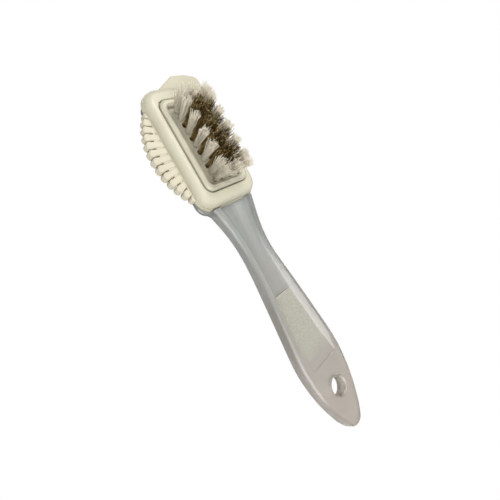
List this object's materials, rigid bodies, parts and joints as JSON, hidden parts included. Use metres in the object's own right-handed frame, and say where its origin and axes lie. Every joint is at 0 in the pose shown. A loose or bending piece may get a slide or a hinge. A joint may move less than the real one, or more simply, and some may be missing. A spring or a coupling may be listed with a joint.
{
  "type": "suede brush",
  "caption": "Suede brush with a frosted plastic handle, cream head, nylon and brass wire tufts, a fan of rubber fingers along one side and a rubber tongue at the tip.",
  "frame": {"origin": "middle of the flat back, under the centre of the head", "axes": "+X along the brush to the end of the handle, +Z from the back to the bristle tips, rubber fingers towards -Y"},
  "size_m": [0.1646, 0.0422, 0.019],
  "materials": {
    "frosted_plastic": "frosted see-through moulding",
    "cream_plastic": "satin moulding",
    "ivory_rubber": "smooth moulded rubber",
    "nylon": "drawn filament",
    "brass_wire": "drawn crimped wire, dulled",
    "anchor_wire": "cut flat wire"
  },
  "bodies": {
    "root": {"handle": "frosted_plastic", "head_frame": "cream_plastic", "bristle_block": "cream_plastic", "rubber_comb": "ivory_rubber", "nylon_tuft_01": "nylon", "nylon_tuft_02": "nylon", "nylon_tuft_03": "nylon", "nylon_tuft_04": "nylon", "nylon_tuft_05": "nylon", "nylon_tuft_06": "nylon", "nylon_tuft_07": "nylon", "nylon_tuft_08": "nylon", "nylon_tuft_09": "nylon", "nylon_tuft_10": "nylon", "nylon_tuft_11": "nylon", "nylon_tuft_12": "nylon", "nylon_tuft_13": "nylon", "nylon_tuft_14": "nylon", "nylon_tuft_15": "nylon", "nylon_tuft_16": "nylon", "brass_tuft_01": "brass_wire", "brass_tuft_02": "brass_wire", "brass_tuft_03": "brass_wire", "brass_tuft_04": "brass_wire", "brass_tuft_05": "brass_wire", "brass_tuft_06": "brass_wire", "brass_tuft_07": "brass_wire", "brass_tuft_08": "brass_wire", "brass_tuft_09": "brass_wire", "brass_tuft_10": "brass_wire", "brass_tuft_11": "brass_wire", "brass_tuft_12": "brass_wire", "brass_tuft_13": "brass_wire", "brass_tuft_14": "brass_wire", "brass_tuft_15": "brass_wire", "brass_tuft_16": "brass_wire", "brass_tuft_17": "brass_wire", "tuft_anchors": "anchor_wire"}
  },
  "joints": []
}
